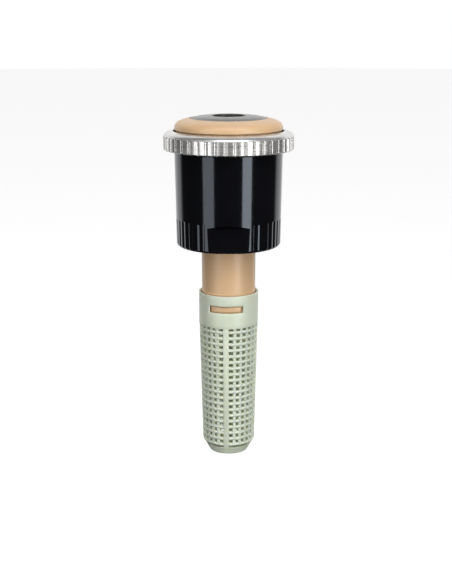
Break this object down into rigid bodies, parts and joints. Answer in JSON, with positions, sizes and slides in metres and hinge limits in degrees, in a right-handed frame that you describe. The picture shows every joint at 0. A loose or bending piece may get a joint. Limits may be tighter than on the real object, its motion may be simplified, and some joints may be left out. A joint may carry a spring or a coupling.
{
  "type": "rotary sprinkler nozzle",
  "caption": "Multi-stream rotary nozzle for a pop-up sprinkler riser, with a knurled steel arc ring, a rising rotor and a push-on inlet filter.",
  "frame": {"origin": "on the nozzle's axis, in the plane of the seat that the riser's end meets inside the threaded skirt", "axes": "+Z along the axis, up towards the rotor; -Y and +Y look at the middles of the skirt's two flats"},
  "size_m": [0.029, 0.029, 0.0776],
  "materials": {
    "black_plastic": "glossy",
    "tan_plastic": "satin",
    "green_plastic": "satin, slightly see-through",
    "grey_plastic": "satin",
    "white_plastic": "satin",
    "seal_rubber": "matt",
    "stainless": "rolled and knurled",
    "spring_steel": "drawn wire"
  },
  "bodies": {
    "skirt": {"body_shell": "black_plastic", "flow_tube": "tan_plastic", "nozzle_stem": "white_plastic", "return_spring": "spring_steel"},
    "filter": {"filter_basket": "green_plastic"},
    "arc_ring": {"arc_sleeve": "black_plastic", "grip_band": "stainless", "sleeve_seal": "seal_rubber"},
    "carriage": {"spring_seat": "white_plastic"},
    "shaft": {"adjusting_shaft": "stainless", "damper_stator": "white_plastic", "shaft_clip": "spring_steel"},
    "rotor": {"rotor_cap": "tan_plastic", "cover_disc": "grey_plastic", "damper_lid": "grey_plastic", "upper_bush": "white_plastic", "lid_seal": "seal_rubber", "rotor_plate": "grey_plastic", "lower_bush": "white_plastic", "lip_seal": "seal_rubber", "seal_retainer": "white_plastic"},
    "throttle": {"throttle_cup": "white_plastic"}
  },
  "joints": [
    {"name": "pop_up", "type": "slide", "parent": "skirt", "child": "carriage", "axis": [0, 0, 1], "range_m": [0, 0.006], "stiffness_N_per_m": 800, "springref_m": -0.004, "deforming": ["return_spring"]},
    {"name": "adjust_screw_turn", "type": "hinge", "parent": "carriage", "child": "shaft", "pos_m": [0, 0, 0.0172], "axis": [0, 0, 1], "range_deg": [-720, 0]},
    {"name": "throttle_travel", "type": "slide", "parent": "carriage", "child": "throttle", "axis": [0, 0, 1], "range_m": [0, 0.002]},
    {"name": "rotor_spin", "type": "hinge", "parent": "shaft", "child": "rotor", "pos_m": [0, 0, 0.012], "axis": [0, 0, 1], "continuous": true},
    {"name": "arc_adjust", "type": "hinge", "parent": "skirt", "child": "arc_ring", "pos_m": [0, 0, 0.0145], "axis": [0, 0, 1], "range_deg": [0, 120]},
    {"name": "filter_pull_off", "type": "slide", "parent": "skirt", "child": "filter", "axis": [0, 0, -1], "range_m": [0, 0.01]}
  ],
  "couplings": [
    {"joint": "adjust_screw_turn", "follows": "throttle_travel", "rad_per_m": -6283}
  ]
}
